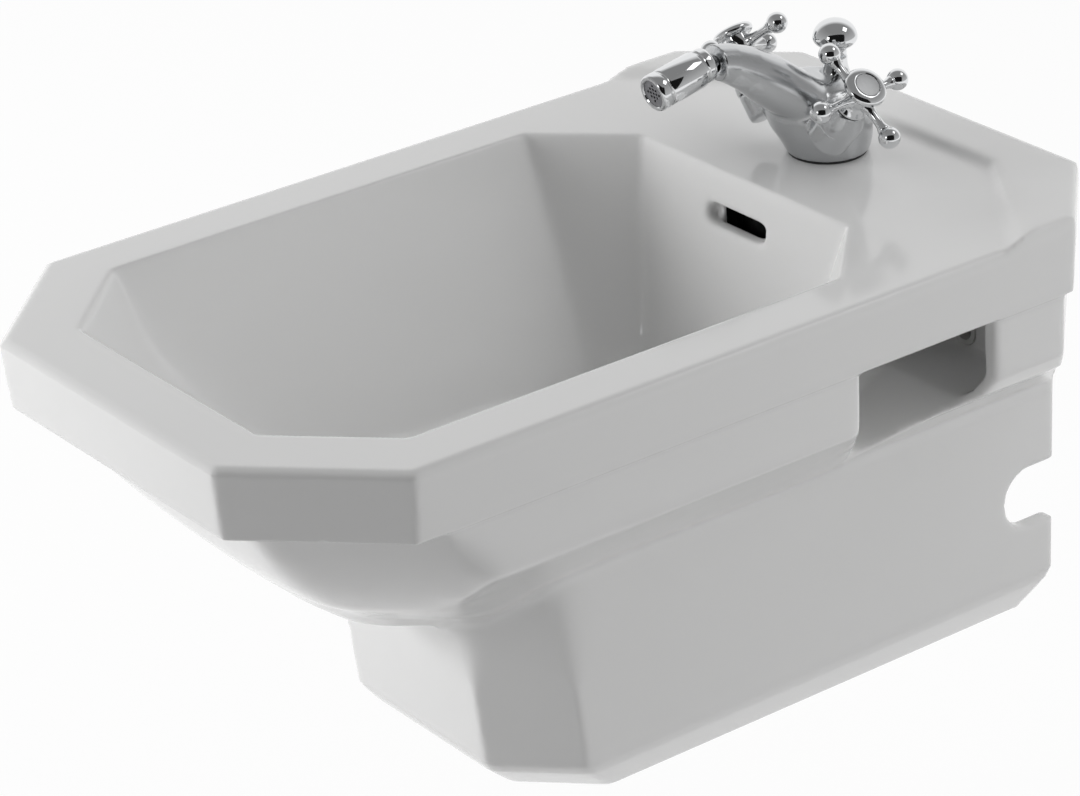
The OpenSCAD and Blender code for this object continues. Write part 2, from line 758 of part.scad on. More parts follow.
// Cross handle: a hub with ball-tipped spokes
module cross_handle(side, turn) {
    color(chrome)
    at_valve(side)
        rotate([0, 0, turn])
            difference() {
                union() {
                    rotate_extrude()
                        polygon([[0, hub_low], [hub_d / 2 + 1, hub_low], [hub_d / 2 + 1, hub_low + 2],
                                 [hub_d / 2 - 1.5, hub_low + 5], [hub_d / 2 - 1, -3], [hub_d / 2, 0],
                                 [hub_d / 2, hub_high], [0, hub_high]]);
                    for (i = [0 : spokes - 1])
                        rotate([0, 90, 360 * i / spokes]) {
                            cylinder(h = spoke_l, d = spoke_d);
                            translate([0, 0, hub_d / 2 - 1]) cylinder(h = 4, d1 = spoke_d + 3, d2 = spoke_d);
                            translate([0, 0, spoke_l]) sphere(d = spoke_ball_d);
                        }
                }
                translate([0, 0, hub_low - over])
                    cylinder(h = spindle_top - hub_low + over, d = spindle_d + 2 * still_gap);
                translate([0, 0, 0]) cylinder(h = hub_high + over, d = screw_d + 2 * still_gap);
                translate([0, 0, spindle_top + 1.5]) cylinder(h = hub_high, d = 2 * screw_d + 1);
            }
}

module handle_screw(side) {
    color(chrome)
    at_valve(side) {
        translate([0, 0, spindle_top - 8]) cylinder(h = 9.5, d = screw_d - 2 * still_gap);
        translate([0, 0, spindle_top + 1.5]) cylinder(h = 2.2, d = 2 * screw_d);
    }
}

// Domed cap with a shallow seat for the index disc
module handle_cap(side) {
    color(chrome)
    at_valve(side)
        difference() {
            rotate_extrude()
                polygon([[0, hub_high], [cap_d / 2 - 2, hub_high], [cap_d / 2, hub_high + 2],
                         [cap_d / 2, hub_high + 3], [cap_d / 2 - 1.2, hub_high + 4.6],
                         [cap_d / 2 - 3.5, hub_high + cap_t - 0.3], [0, hub_high + cap_t]]);
            translate([0, 0, hub_high + cap_t - 1.2]) cylinder(h = 2, d = cap_d * 0.6);
        }
}

module index_disc(side) {
    color(chrome)
    at_valve(side)
        translate([0, 0, hub_high + cap_t - 1.2]) cylinder(h = 1.1, d = cap_d * 0.6 - 2 * still_gap);
}

// ---- lift rod and linkage ---------------------------------------------------

guide_top = 57;
guide_low = 44.5;
guide_tube_d = rod_d + 2.8;
guide_flange_d = 18;
clip_y = waste_y + pivot_arm + clip_arm;
pivot_z = -bowl_depth - pivot_drop;
pivot_y = waste_y + pivot_arm;
pivot_swing = 2 * asin(lift_travel / 2 / clip_arm);
clip_z = pivot_z - lift_travel / 2;

// Flared guide on the tap, in which the lift rod runs
module rod_guide() {
    color(chrome)
    translate([0, rod_y, 0])
        difference() {
            rotate_extrude()
                polygon([[0, 20], [guide_tube_d / 2, 20], [guide_tube_d / 2, guide_low],
                         [guide_flange_d / 2, guide_low], [guide_flange_d / 2, guide_low + 2],
                         [guide_flange_d / 2 - 1.4, guide_low + 5], [7, guide_top], [0, guide_top]]);
            translate([0, 0, 10]) cylinder(h = 60, d = rod_d + 2 * run_fit);
        }
}

module lift_rod() {
    color(chrome)
    translate([0, rod_y, -rod_drop]) cylinder(h = guide_top + 8 + rod_drop, d = rod_d);
}

// Mushroom knob on the lift rod
module lift_knob() {
    low = guide_top + 1;
    r = knob_d / 2;
    middle = knob_top - 11;
    color(chrome)
    translate([0, rod_y, 0])
        difference() {
            rotate_extrude()
                polygon(concat([[0, low], [6.6, low]],
                    [for (a = [-56 : 8 : 0]) [r * cos(a), middle + 7 * sin(a)]],
                    [for (a = [9 : 9 : 90]) [r * cos(a), middle + 11 * sin(a)]]));
            translate([0, 0, low - over]) cylinder(h = guide_top + 8 - low + over, d = rod_d + 2 * still_gap);
        }
}

strap_w = 9;
strap_t = 2;
strap_top = [0, rod_y, -rod_drop + 8];
strap_screw_d = 3;
eye_d = rod_d + 6;
clip_w = 9;
clip_l = 7;
clip_h = 11;
clip_eye_d = pivot_d + 1.8;
strap_low = clip_z + clip_eye_d / 2 + 0.3; // foot of the strap, in the clip's slot

// Flat strap from the lift rod's foot to the clip on the pivot rod
module linkage_strap() {
    a = [strap_top[1], strap_top[2]];
    b = [clip_y, strap_low + 5];
    side = strap_w / 2 * [b[1] - a[1], a[0] - b[0]] / norm(b - a);
    color(chrome)
    difference() {
        union() {
            translate([-strap_t / 2, 0, 0]) rotate([90, 0, 90])
                linear_extrude(strap_t) {
                    polygon([a + side, a - side, b - side, b + side]);
                    translate(a) circle(d = strap_w);
                    translate(b) circle(d = strap_w);
                    translate([clip_y - clip_l / 2, strap_low]) square([clip_l, 5]);
                }
            // eye that holds the lift rod
            translate([0, rod_y, strap_top[2] - 4]) cylinder(h = 8, d = eye_d);
        }
        translate([0, rod_y, strap_top[2] - 20]) cylinder(h = 40, d = rod_d + 2 * still_gap);
        translate([0, rod_y, strap_top[2]]) rotate([0, -90, 0]) cylinder(h = eye_d, d = strap_screw_d);
    }
}

module strap_screw() {
    color(chrome)
    translate([0, rod_y, strap_top[2]]) rotate([0, -90, 0]) {
        translate([0, 0, rod_d / 2 + still_gap]) cylinder(h = eye_d / 2, d = strap_screw_d - 2 * still_gap);
        translate([0, 0, eye_d / 2 + 0.1]) cylinder(h = 4, d = 7);
    }
}

// Clip on the strap's foot, which holds the pivot rod and lets it tilt
module linkage_clip() {
    slot_w = strap_t + 2 * still_gap;
    color(plastic)
    translate([0, clip_y, clip_z])
        difference() {
            translate([-clip_w / 2, -clip_l / 2, -clip_h / 2]) cube([clip_w, clip_l, clip_h]);
            rotate([90, 0, 0]) cylinder(h = 10, d = clip_eye_d, center = true);
            translate([-slot_w / 2, -clip_l, strap_low - clip_z - still_gap]) cube([slot_w, 2 * clip_l, clip_h]);
        }
}

// Rod with a ball, which tilts in the waste and lifts the plug
module pivot_rod() {
    color(chrome)
    translate([0, pivot_y, pivot_z])
        rotate([-pivot_swing / 2, 0, 0]) {
            rotate([90, 0, 0]) translate([0, 0, -clip_arm - 12])
                cylinder(h = clip_arm + 12 + pivot_arm + 3, d = pivot_d);
            sphere(d = 11);
        }
}

side_boss_d = 20;
side_boss_l = 8; // from the ball's centre to the boss's face

module pivot_seat() {
    color(plastic)
    translate([0, pivot_y, pivot_z])
        rotate([-90, 0, 0])
            difference() {
                translate([0, 0, -3.5]) cylinder(h = side_boss_l + 3, d = 15 - 2 * still_gap);
                sphere(d = 11 + 2 * run_fit);
                translate([0, 0, -10]) cylinder(h = 30, d = pivot_d + 5);
            }
}

module pivot_nut() {
    color(chrome)
    translate([0, pivot_y, pivot_z])
        rotate([-90, 0, 0])
            difference() {
                translate([0, 0, 2]) cylinder(h = side_boss_l + 3, d = side_boss_d + 6, $fn = 6);
                translate([0, 0, 1]) cylinder(h = side_boss_l - 1 + 0.6, d = side_boss_d + 2 * still_gap);
                cylinder(h = 30, d = pivot_d + 6);
            }
}

// ---- waste ----------------------------------------------------------------

floor_z = -bowl_depth;
seal_t = 1.5;
flange_t = 4;
flange_z = floor_z + seal_t;
neck_low = floor_z - 40;
cup_top = boss_bottom - seal_t;
body_low = pivot_z - 36;
countersink_t = 3; // seat of the plug in the flange
plug_open = flange_z + flange_t - countersink_t + seal_t + 0.2 + plug_travel;

module at_waste() {
    translate([0, waste_y, 0]) children();
}

module waste_flange_seal() {
    color(rubber)
    at_waste() translate([0, 0, floor_z]) tube(seal_t, waste_flange_d - 4, waste_neck_d + 2);
}

// Flange with the hollow threaded neck
module waste_flange() {
    color(chrome)
    at_waste()
        difference() {
            union() {
                rotate_extrude()
                    polygon([[0, flange_z], [waste_flange_d / 2, flange_z], [waste_flange_d / 2, flange_z + 1],
                             [waste_flange_d / 2 - 5, flange_z + flange_t], [0, flange_z + flange_t]]);
                translate([0, 0, neck_low]) cylinder(h = flange_z - neck_low + 1, d = waste_neck_d);
            }
            translate([0, 0, neck_low - over])
                cylinder(h = flange_z + flange_t - neck_low + 2 * over, d = waste_bore_d);
            translate([0, 0, flange_z + flange_t - countersink_t])
                cylinder(h = 5, d = plug_d + 2 * move_gap);
            // ports for the overflow duct
            translate([0, -waste_neck_d, boss_bottom + waste_boss_t / 2])
                rotate([-90, 0, 0]) cylinder(h = 2 * waste_neck_d, d = 8);
        }
}

module waste_gasket() {
    color(rubber)
    at_waste() translate([0, 0, cup_top]) tube(seal_t, waste_neck_d + 18, waste_neck_d + 1);
}

// Body below the china, with the side boss for the pivot rod
module waste_body() {
    cup_low = neck_low - 3;
    color(chrome)
    at_waste()
        difference() {
            union() {
                translate([0, 0, cup_top - 16]) cylinder(h = 4, d = waste_neck_d + 17);
                translate([0, 0, cup_low]) cylinder(h = cup_top - 12 - cup_low, d = waste_neck_d + 7);
                translate([0, 0, pivot_z - 16]) cylinder(h = cup_low - pivot_z + 17, d = waste_neck_d);
                translate([0, 0, body_low]) cylinder(h = 40, d = tail_d + 7);
                translate([0, 0, pivot_z]) rotate([-90, 0, 0])
                    cylinder(h = pivot_arm + side_boss_l, d = side_boss_d);
            }
            translate([0, 0, cup_low + 3]) cylinder(h = 80, d = waste_neck_d + 2 * still_gap);
            translate([0, 0, pivot_z - 12]) cylinder(h = 60, d = waste_bore_d);
            translate([0, 0, body_low - over]) cylinder(h = 60, d = tail_d - 3);
            translate([0, 0, pivot_z]) rotate([-90, 0, 0]) {
                translate([0, 0, pivot_arm - 3.5]) cylinder(h = 30, d = 15);
                cylinder(h = 30, d = 12);
            }
        }
}

// Ring nut that draws the body up against the china
module waste_back_nut() {
    color(chrome)
    at_waste() translate([0, 0, cup_top - 12])
        difference() {
            cylinder(h = 12, d = waste_neck_d + 16, $fn = 8);
            translate([0, 0, -over]) cylinder(h = 20, d = waste_neck_d + 2 * still_gap);
        }
}

module waste_plug() {
    color(chrome)
    at_waste()
        union() {
            rotate_extrude()
                polygon([[0, plug_open], [plug_d / 2 - 0.5, plug_open], [plug_d / 2, plug_open + 0.6],
                         [plug_d / 2, plug_open + 2], [plug_d / 2 - 1.5, plug_open + 3],
                         [8, plug_open + 3.6], [0, plug_open + 3.8]]);
            translate([0, 0, pivot_z + pivot_lift + pivot_d / 2 + 0.3])
                cylinder(h = plug_open - pivot_z - pivot_lift - pivot_d / 2, d = 7);
            for (a = [0, 90])
                rotate([0, 0, a + 45])
                    translate([-waste_bore_d / 2 + move_gap + 0.4, -0.8, plug_open - 22])
                        cube([waste_bore_d - 2 * move_gap - 0.8, 1.6, 14]);
        }
}
pivot_lift = pivot_arm * sin(pivot_swing / 2) + 0.1;

module plug_seal() {
    color(rubber)
    at_waste() translate([0, 0, plug_open - seal_t]) tube(seal_t, plug_d - 1, 7);
}

module tail_washer() {
    color(rubber)
    at_waste() translate([0, 0, body_low - 2]) tube(2, tail_d + 6, tail_d - 3);
}

module tail_pipe() {
    color(chrome)
    at_waste()
        difference() {
            union() {
                translate([0, 0, body_low - 4]) cylinder(h = 2, d = tail_d + 6);
                translate([0, 0, body_low - 12 - tail_l]) cylinder(h = tail_l - 2, d = tail_d);
                translate([0, 0, body_low - 14 - over]) cylinder(h = 10 + 2 * over, d = tail_d - 1);
            }
            translate([0, 0, body_low - 12 - tail_l - over])
                cylinder(h = tail_l + 10 + 2 * over, d = tail_d - 3);
        }
}

module tail_nut() {
    color(chrome)
    at_waste() translate([0, 0, body_low - 12])
        difference() {
            cylinder(h = 22, d = tail_d + 16, $fn = 8);
            translate([0, 0, 8]) cylinder(h = 30, d = tail_d + 7 + 2 * still_gap);
            translate([0, 0, -over]) cylinder(h = 30, d = tail_d + 2 * still_gap);
        }
}

// ---- nodes ----------------------------------------------------------------

ceramic_body();
fixing_sleeves();
tap_body();
tap_base_gasket();
tap_rubber_washer();
tap_metal_washer();
tap_back_nut();
spout_ball();
ball_seat();
aerator_housing();
aerator_washer();
aerator_insert();
bonnet(-1);  // hot_bonnet
cartridge(-1);  // hot_cartridge
spindle(-1);  // hot_spindle
cross_handle(-1, left_turn);  // hot_handle
handle_screw(-1);  // hot_screw
handle_cap(-1);  // hot_cap
index_disc(-1);  // hot_index
bonnet(1);  // cold_bonnet
cartridge(1);  // cold_cartridge
spindle(1);  // cold_spindle
cross_handle(1, right_turn);  // cold_handle
handle_screw(1);  // cold_screw
handle_cap(1);  // cold_cap
index_disc(1);  // cold_index
rod_guide();
lift_rod();
lift_knob();
linkage_strap();
strap_screw();
linkage_clip();
pivot_rod();
pivot_seat();
pivot_nut();
waste_flange_seal();
waste_flange();
waste_gasket();
waste_body();
waste_back_nut();
waste_plug();
plug_seal();
tail_washer();
tail_pipe();
tail_nut();
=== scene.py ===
"""Wall-hung bidet with a two-handle mixer: looks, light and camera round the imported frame."""

import logging
import math
from dataclasses import dataclass, field
from enum import Enum
from typing import Any, Callable, Sequence

import bpy
import numpy as np
from mathutils import Matrix, Vector


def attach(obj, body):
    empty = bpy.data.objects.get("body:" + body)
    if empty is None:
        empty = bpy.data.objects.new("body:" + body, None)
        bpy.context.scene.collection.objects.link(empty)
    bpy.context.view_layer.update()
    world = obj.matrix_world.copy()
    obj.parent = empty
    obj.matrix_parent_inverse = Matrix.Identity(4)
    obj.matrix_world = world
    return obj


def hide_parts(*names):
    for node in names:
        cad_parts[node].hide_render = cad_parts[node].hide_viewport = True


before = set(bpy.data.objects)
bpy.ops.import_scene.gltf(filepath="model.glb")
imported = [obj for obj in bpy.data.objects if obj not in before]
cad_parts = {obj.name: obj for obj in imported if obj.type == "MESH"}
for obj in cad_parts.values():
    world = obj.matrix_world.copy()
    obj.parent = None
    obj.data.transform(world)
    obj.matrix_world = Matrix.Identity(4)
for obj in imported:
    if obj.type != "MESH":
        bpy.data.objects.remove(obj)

Point = tuple[float, float, float]
Range = tuple[float, float]
Profile = list[tuple[float, float]]

LOG = logging.getLogger("bidet")
MM = 0.001
MERGE = 1e-6  # points nearer than this, in metres, become one
SOFT_LEVELS = 20  # steps of a smoothing weight
ROD_Y = -77.0  # the lift rod's axis, in millimetres
MIDDLE: Point = (0, -0.29, -0.12)  # the bidet's middle, in metres
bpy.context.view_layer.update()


class Body(Enum):
    """Bodies of the frame that the made pieces ride on."""

    FIXED = "bidet"
    HOT = "hot_handle_set"
    COLD = "cold_handle_set"
    AERATOR = "aerator"
    LIFT = "lift_linkage"


class Slot(Enum):
    """Material slots of the record that the made pieces take."""

    CHINA = "china"
    CHROME = "chrome"
    DISC = "satin_disc"


# ---- shader helpers ---------------------------------------------------------


class Value:
    """A number socket of a node tree that can stand in sums."""

    def __init__(self, tree: bpy.types.NodeTree, socket: bpy.types.NodeSocket) -> None:
        """Keeps the tree and the socket."""
        self.tree = tree
        self.socket = socket

    def _math(self, operation: str, first: Any, second: Any) -> "Value":
        """Adds a Math node.

        Args:
            operation: The node's operation.
            first: A Value or a number.
            second: A Value or a number.

        Returns:
            The node's result.
        """
        node = self.tree.nodes.new("ShaderNodeMath")
        node.operation = operation
        for place, item in enumerate((first, second)):
            if isinstance(item, Value):
                self.tree.links.new(item.socket, node.inputs[place])
            else:
                node.inputs[place].default_value = float(item)
        return Value(self.tree, node.outputs[0])

    def __add__(self, other: Any) -> "Value":
        """Sum."""
        return self._math("ADD", self, other)

    __radd__ = __add__

    def __mul__(self, other: Any) -> "Value":
        """Product."""
        return self._math("MULTIPLY", self, other)

    def between(self, low: float, high: float) -> "Value":
        """1 between two limits and 0 elsewhere."""
        return self._math("GREATER_THAN", self, low) * self._math("LESS_THAN", self, high)


class Shader:
    """A material whose nodes are made by short calls."""

    NOISE_ROUGHNESS = 0.55
    FIRST_COLOUR, SECOND_COLOUR, MIXED_COLOUR = 6, 7, 2  # a Mix node's sockets for colours

    def __init__(self, name: str) -> None:
        """Makes an empty node material.

        Args:
            name: The material's name.
        """
        self.material = bpy.data.materials.new(name)
        self.material.use_nodes = True
        self.tree = self.material.node_tree
        self.tree.nodes.clear()
        self.output = self.tree.nodes.new("ShaderNodeOutputMaterial")

    def node(self, kind: str, inputs: dict[str, Any] | None = None) -> bpy.types.Node:
        """Adds a node.

        Args:
            kind: The node's type.
            inputs: Values or links of its sockets, by name.

        Returns:
            The node.
        """
        made = self.tree.nodes.new(kind)
        for key, item in (inputs or {}).items():
            if isinstance(item, Value):
                self.tree.links.new(item.socket, made.inputs[key])
            else:
                made.inputs[key].default_value = item
        return made

    def value(self, node: bpy.types.Node, output: str | int = 0) -> Value:
        """One output of a node as a Value."""
        return Value(self.tree, node.outputs[output])

    def place(self) -> Value:
        """Object coordinates."""
        return self.value(self.node("ShaderNodeTexCoord"), "Object")

    def noise(self, scale: float, detail: float = 3.0, stretch: Point = (1, 1, 1)) -> Value:
        """Noise on Object coordinates.

        Args:
            scale: Waves in a metre.
            detail: Octaves.
            stretch: Scale of each axis.

        Returns:
            The noise, from 0 to 1.
        """
        mapped = self.node("ShaderNodeMapping", inputs={"Vector": self.place(), "Scale": stretch})
        made = self.node("ShaderNodeTexNoise", inputs={
            "Vector": self.value(mapped), "Scale": scale, "Detail": detail,
            "Roughness": self.NOISE_ROUGHNESS})
        return self.value(made, 0)

    def _mix_node(self, factor: Value) -> bpy.types.Node:
        """Adds a Mix node for colours.

        Args:
            factor: Share of the second colour.

        Returns:
            The node, whose colours aren't set yet.
        """
        node = self.tree.nodes.new("ShaderNodeMix")
        node.data_type = "RGBA"
        self.tree.links.new(factor.socket, node.inputs[0])
        return node

    def mix(self, factor: Value, first: Point, second: Point) -> Value:
        """Mixes two colours.

        Args:
            factor: Share of the second colour.
            first: Red, green and blue of the first colour.
            second: Red, green and blue of the second colour.

        Returns:
            The mixed colour.
        """
        node = self._mix_node(factor)
        node.inputs[self.FIRST_COLOUR].default_value = (*first, 1)
        node.inputs[self.SECOND_COLOUR].default_value = (*second, 1)
        return self.value(node, self.MIXED_COLOUR)

    def blend(self, factor: Value, first: Value, second: Point) -> Value:
        """Mixes a colour from the tree with a plain one.

        Args:
            factor: 0 gives the first colour and 1 the second.
            first: A colour from the tree.
            second: A plain colour.

        Returns:
            The mixed colour.
        """
        node = self._mix_node(factor)
        self.tree.links.new(first.socket, node.inputs[self.FIRST_COLOUR])
        node.inputs[self.SECOND_COLOUR].default_value = (*second, 1)
        return self.value(node, self.MIXED_COLOUR)

    def bump(self, height: Value, strength: float, distance: float) -> Value:
        """Turns a height into a normal.

        Args:
            height: The height.
            strength: Share of the effect.
            distance: Height of a full wave, in metres.

        Returns:
            The normal.
        """
        return self.value(self.node("ShaderNodeBump", inputs={
            "Height": height, "Strength": strength, "Distance": distance}))

    def ramp(self, item: Value, low: float, high: float) -> Value:
        """Rises evenly from 0 at low to 1 at high.

        Args:
            item: The number to map.
            low: Where the ramp starts.
            high: Where the ramp ends.

        Returns:
            The number, from 0 to 1.
        """
        return self.value(self.node("ShaderNodeMapRange", inputs={
            "Value": item, "From Min": low, "From Max": high, "To Min": 0.0, "To Max": 1.0}))

    def principled(self, inputs: dict[str, Any]) -> None:
        """Ends the material in a Principled shader with the given sockets."""
        made = self.node("ShaderNodeBsdfPrincipled", inputs=inputs)
        self.tree.links.new(made.outputs[0], self.output.inputs[0])

    def glow(self, colour: Value) -> None:
        """Ends the material in a light of the given colour, which isn't sampled as a lamp."""
        made = self.node("ShaderNodeEmission", inputs={"Color": colour, "Strength": 1.0})
        self.tree.links.new(made.outputs[0], self.output.inputs[0])
        self.material.cycles.emission_sampling = "NONE"


@dataclass(frozen=True)
class Glaze:
    """White glaze on china, with a slow waviness, a faint change of gloss and painted shade inside
    the overflow's duct.
    """

    name: str = "white_glaze"
    light: Point = (0.86, 0.86, 0.855)
    dark: Point = (0.83, 0.83, 0.828)
    # Painted shade: a near-black colour laid into the inside of the overflow's duct.
    painted_duct_shade: Point = (0.012, 0.012, 0.012)
    roughness: float = 0.09
    spread: float = 0.05
    refraction: float = 1.5
    cloud_scale: float = 7
    wave_scale: float = 38
    wave_strength: float = 0.12
    wave_height: float = 0.0006
    # The inside of the overflow's duct along X, Y and Z, in metres, where shade is painted.
    duct: tuple[Range, Range, Range] = ((-0.033, 0.033), (-0.1445, -0.1332), (-0.046, -0.0195))

    def _throat(self, shader: Shader, paint: Value) -> Value:
        """Darkens the inside of the overflow's duct, which no light reaches in the photo.

        Args:
            shader: The material in work.
            paint: The glaze's colour.

        Returns:
            The colour with the dark duct.
        """
        split = shader.node("ShaderNodeSeparateXYZ", inputs={"Vector": shader.place()})
        x, y, z = (shader.value(split, axis).between(*limits)
                   for axis, limits in zip("XYZ", self.duct))
        # Painted shade: the duct's inside takes the near-black colour instead of the glaze.
        return shader.blend(x * y * z, paint, self.painted_duct_shade)

    def build(self) -> bpy.types.Material:
        """Makes the material."""
        shader = Shader(self.name)
        cloud = shader.noise(self.cloud_scale, detail=2)
        wave = shader.noise(self.wave_scale, detail=1.5)
        shader.principled({
            "Base Color": self._throat(shader, shader.mix(cloud, self.light, self.dark)),
            "Roughness": self.roughness + cloud * self.spread,
            "IOR": self.refraction,
            "Normal": shader.bump(wave, self.wave_strength, self.wave_height),
        })
        return shader.material


@dataclass(frozen=True)
class Plate:
    """Metal or plating, with fine marks in its gloss."""

    name: str
    light: Point
    dark: Point
    roughness: float
    grain: Point = (1, 1, 1)
    grain_scale: float = 300
    spread: float = 0.05
    relief: float = 0.0
    relief_height: float = 0.0002
    cloud_scale: float = 45

    def build(self) -> bpy.types.Material:
        """Makes the material."""
        shader = Shader(self.name)
        marks = shader.noise(self.grain_scale, detail=4, stretch=self.grain)
        inputs = {
            "Base Color": shader.mix(shader.noise(self.cloud_scale), self.light, self.dark),
            "Metallic": 1.0,
            "Roughness": self.roughness + marks * self.spread,
        }
        if self.relief:
            inputs["Normal"] = shader.bump(marks, self.relief, self.relief_height)
        shader.principled(inputs)
        return shader.material


@dataclass(frozen=True)
class Moulded:
    """Rubber or plastic, with a fine grain from its mould."""

    name: str
    light: Point
    dark: Point
    roughness: float
    spread: float = 0.12
    relief: float = 0.15
    relief_height: float = 0.0001
    grain_scale: float = 900
    cloud_scale: float = 60

    def build(self) -> bpy.types.Material:
        """Makes the material."""
        shader = Shader(self.name)
        grain = shader.noise(self.grain_scale)
        shader.principled({
            "Base Color": shader.mix(shader.noise(self.cloud_scale), self.light, self.dark),
            "Roughness": self.roughness + grain * self.spread,
            "Normal": shader.bump(grain, self.relief, self.relief_height),
        })
        return shader.material


class Finishes:
    """All finishes of the bidet, each made once."""

    def __init__(self) -> None:
        """Makes the materials."""
        self.glaze = Glaze().build()
        self.chrome = Plate("polished_chrome", (0.80, 0.81, 0.82), (0.74, 0.75, 0.76), 0.05,
                            spread=0.04).build()
        self.cast = Plate("chromed_casting", (0.60, 0.61, 0.62), (0.58, 0.59, 0.60), 0.21,
                          spread=0.03).build()
        self.disc = Plate("satin_disc", (0.44, 0.45, 0.45), (0.38, 0.38, 0.39), 0.30,
                          spread=0.08).build()
        self.steel = Plate("zinc_plated_steel", (0.60, 0.61, 0.61), (0.47, 0.48, 0.49), 0.32,
                           spread=0.15, relief=0.1).build()
        self.brass = Plate("machined_brass", (0.75, 0.58, 0.28), (0.62, 0.46, 0.22), 0.25,
                           grain=(1, 1, 14), spread=0.12, relief=0.1).build()
        self.rubber = Moulded("black_rubber", (0.030, 0.030, 0.031), (0.018, 0.018, 0.019),
                              0.62).build()
        self.plastic = Moulded("white_plastic", (0.74, 0.74, 0.72), (0.68, 0.68, 0.66),
                               0.38).build()
        self.dark_plastic = Moulded("grey_plastic", (0.22, 0.22, 0.23), (0.15, 0.15, 0.16),
                                    0.4).build()


# ---- modelling helpers ------------------------------------------------------


def only(piece: bpy.types.Object) -> bpy.types.Object:
    """Selects one object alone and makes it active.

    Args:
        piece: The object.

    Returns:
        The same object.
    """
    bpy.ops.object.select_all(action="DESELECT")
    piece.select_set(True)
    bpy.context.view_layer.objects.active = piece
    return piece


def clean(piece: bpy.types.Object) -> bpy.types.Object:
    """Merges doubled points and turns all faces outwards.

    Args:
        piece: A closed mesh.

    Returns:
        The same object.
    """
    only(piece)
    bpy.ops.object.mode_set(mode="EDIT")
    bpy.ops.mesh.select_all(action="SELECT")
    bpy.ops.mesh.remove_doubles(threshold=MERGE)
    bpy.ops.mesh.normals_make_consistent(inside=False)
    bpy.ops.object.mode_set(mode="OBJECT")
    return piece


def turned(name: str, profile: Profile, steps: int = 64) -> bpy.types.Object:
    """Turns a closed profile about Z, as on a lathe.

    Args:
        name: The object's name.
        profile: Radius and height of each corner, in millimetres.
        steps: Faces round the axis.

    Returns:
        The closed solid.
    """
    bpy.ops.object.select_all(action="DESELECT")
    bpy.ops.mesh.primitive_circle_add(vertices=len(profile), radius=1, fill_type="NOTHING")
    piece = bpy.context.object
    piece.name = name
    for vertex, (radius, height) in zip(piece.data.vertices, profile):
        vertex.co = (radius * MM, 0, height * MM)
    bpy.ops.object.mode_set(mode="EDIT")
    bpy.ops.mesh.select_all(action="SELECT")
    bpy.ops.mesh.spin(steps=steps, angle=math.tau, center=(0, 0, 0), axis=(0, 0, 1))
    bpy.ops.object.mode_set(mode="OBJECT")
    return clean(piece)


def ball(name: str, centre: Point, radius: float, segments: int = 40) -> bpy.types.Object:
    """Adds a sphere at its place.

    Args:
        name: The object's name.
        centre: Its centre, in millimetres.
        radius: Its radius, in millimetres.
        segments: Faces round it.

    Returns:
        The sphere, with its place in its mesh.
    """
    bpy.ops.object.select_all(action="DESELECT")
    bpy.ops.mesh.primitive_uv_sphere_add(segments=segments, ring_count=segments // 2,
                                         radius=radius * MM)
    piece = bpy.context.object
    piece.name = name
    piece.data.transform(Matrix.Translation(Vector(centre) * MM))
    return piece


def apply(piece: bpy.types.Object, kind: str, **settings: Any) -> bpy.types.Object:
    """Adds a modifier and applies it.

    Args:
        piece: The object.
        kind: The modifier's type.
        settings: The modifier's settings.

    Returns:
        The same object.
    """
    only(piece)
    modifier = piece.modifiers.new(kind.lower(), kind)
    for key, item in settings.items():
        setattr(modifier, key, item)
    bpy.ops.object.modifier_apply(modifier=modifier.name)
    return piece


def combine(piece: bpy.types.Object, tool: bpy.types.Object, operation: str) -> bpy.types.Object:
    """Joins or cuts two solids and removes the tool.

    Args:
        piece: The solid that stays.
        tool: The solid that is used up.
        operation: UNION, DIFFERENCE or INTERSECT.

    Returns:
        The first solid.
    """
    apply(piece, "BOOLEAN", operation=operation, object=tool, solver="EXACT")
    bpy.data.objects.remove(tool)
    return piece


def copy_of(node: str, name: str) -> bpy.types.Object:
    """Copies the mesh of a CAD node and merges its points.

    Args:
        node: The node's name.
        name: The copy's name.

    Returns:
        The copy, which belongs to no body yet.
    """
    piece = bpy.data.objects.new(name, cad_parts[node].data.copy())
    bpy.context.scene.collection.objects.link(piece)
    piece.data.materials.clear()
    only(piece)
    bpy.ops.object.mode_set(mode="EDIT")
    bpy.ops.mesh.select_all(action="SELECT")
    bpy.ops.mesh.remove_doubles(threshold=MERGE)
    bpy.ops.object.mode_set(mode="OBJECT")
    return piece


def points_of(piece: bpy.types.Object) -> np.ndarray:
    """Places of all points of a mesh, in millimetres."""
    flat = np.empty(len(piece.data.vertices) * 3, np.float32)
    piece.data.vertices.foreach_get("co", flat)
    return flat.reshape(-1, 3) / MM


def soften(piece: bpy.types.Object, repeat: int,
           weight: Callable[[np.ndarray], np.ndarray] | None = None) -> bpy.types.Object:
    """Smooths a mesh, everywhere or by a weight.

    Args:
        piece: The object.
        repeat: Number of passes.
        weight: Gives each point's share from 0 to 1, from places in millimetres.

    Returns:
        The same object.
    """
    settings: dict[str, Any] = {"factor": 0.5, "iterations": repeat}
    if weight is not None:
        group = piece.vertex_groups.new(name="softness")
        share = np.round(np.clip(weight(points_of(piece)), 0, 1) * SOFT_LEVELS).astype(int)
        for level in range(1, SOFT_LEVELS + 1):
            group.add(np.nonzero(share == level)[0].tolist(), level / SOFT_LEVELS, "REPLACE")
        settings["vertex_group"] = group.name
    apply(piece, "SMOOTH", **settings)
    piece.vertex_groups.clear()
    return piece


def thin_out(piece: bpy.types.Object, triangles: int) -> bpy.types.Object:
    """Thins a mesh to about a number of triangles."""
    piece.data.calc_loop_triangles()
    have = len(piece.data.loop_triangles)
    if have > triangles:
        apply(piece, "DECIMATE", ratio=triangles / have)
    return piece


